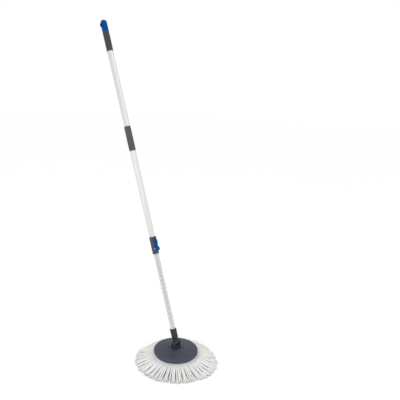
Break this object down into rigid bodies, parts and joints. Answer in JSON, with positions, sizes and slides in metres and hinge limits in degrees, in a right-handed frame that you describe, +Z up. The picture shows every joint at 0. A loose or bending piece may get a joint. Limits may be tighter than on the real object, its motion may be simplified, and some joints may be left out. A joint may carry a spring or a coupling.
{
  "type": "spin mop",
  "caption": "Pump-action spin mop: leaning two-stage tube handle with lever lock, twisted-bar drive, tilting round disc and clip-on pad of white yarn strands.",
  "frame": {"origin": "centre of the mouth of the wringer socket under the disc, 28 mm above the floor that the strands stand on", "axes": "+Z up, out of the disc's top; X along the tilt pin; the handle leans 20 degrees from +Z towards +Y"},
  "size_m": [0.33, 0.6209, 1.3039],
  "materials": {
    "blue_plastic": "satin",
    "soft_grip": "matte",
    "ribbed_grip": "matte",
    "brake_rubber": "matte",
    "white_tube": "satin",
    "silver_tube": "satin",
    "bright_steel": "satin",
    "dark_steel": "satin",
    "grey_plastic": "satin",
    "black_plastic": "satin",
    "slate_plastic": "satin",
    "ring_plastic": "satin",
    "white_acetal": "satin",
    "mop_yarn": "matte"
  },
  "bodies": {
    "pad": {"mop_ring": "ring_plastic", "strand_bundle_1": "mop_yarn", "strand_bundle_2": "mop_yarn", "strand_bundle_3": "mop_yarn", "strand_bundle_4": "mop_yarn", "strand_bundle_5": "mop_yarn", "strand_bundle_6": "mop_yarn", "strand_bundle_7": "mop_yarn", "strand_bundle_8": "mop_yarn", "strand_bundle_9": "mop_yarn", "strand_bundle_10": "mop_yarn", "strand_bundle_11": "mop_yarn", "strand_bundle_12": "mop_yarn", "strand_bundle_13": "mop_yarn", "strand_bundle_14": "mop_yarn", "strand_bundle_15": "mop_yarn", "strand_bundle_16": "mop_yarn", "strand_bundle_17": "mop_yarn", "strand_bundle_18": "mop_yarn", "strand_bundle_19": "mop_yarn", "strand_bundle_20": "mop_yarn"},
    "head": {"disc_plate": "slate_plastic", "hub": "slate_plastic", "yoke": "black_plastic", "tilt_pin": "dark_steel", "yoke_screws": "bright_steel"},
    "lower": {"lower_tube": "silver_tube", "socket": "black_plastic", "socket_rivet": "dark_steel", "clutch_cup": "black_plastic", "drive_nut": "white_acetal", "clutch_spring": "bright_steel", "clutch_cap": "black_plastic"},
    "carriage": {"guide_bush": "white_acetal"},
    "handle": {"hang_cap": "blue_plastic", "top_grip": "soft_grip", "upper_tube": "white_tube", "tube_connector": "bright_steel", "middle_grip": "ribbed_grip", "middle_tube": "white_tube", "spiral_bar": "bright_steel", "bar_anchor": "black_plastic", "anchor_rivet": "bright_steel", "bar_stop": "bright_steel", "lock_housing": "grey_plastic", "tube_bush": "white_acetal", "bush_screws": "bright_steel", "lever_pin": "bright_steel"},
    "lever": {"lock_lever": "blue_plastic", "brake_pad": "brake_rubber"}
  },
  "joints": [
    {"name": "pad_release", "type": "slide", "parent": "pad", "child": "head", "axis": [0, 0, 1], "range_m": [0, 0.02]},
    {"name": "head_tilt", "type": "hinge", "parent": "head", "child": "lower", "pos_m": [0, 0, 0.046], "axis": [1, 0, 0], "range_deg": [-60, 100]},
    {"name": "head_spin", "type": "hinge", "parent": "lower", "child": "carriage", "pos_m": [0, 0, 0.046], "axis": [0, 0.342, 0.9397], "continuous": true},
    {"name": "handle_pump", "type": "slide", "parent": "carriage", "child": "handle", "axis": [0, -0.342, -0.9397], "range_m": [0, 0.3]},
    {"name": "lock_lever", "type": "hinge", "parent": "handle", "child": "lever", "pos_m": [0, 0.13397, 0.45005], "axis": [-1, 0, 0], "range_deg": [0, 90]}
  ],
  "couplings": [
    {"joint": "head_spin", "follows": "handle_pump", "rad_per_m": -52.36}
  ]
}
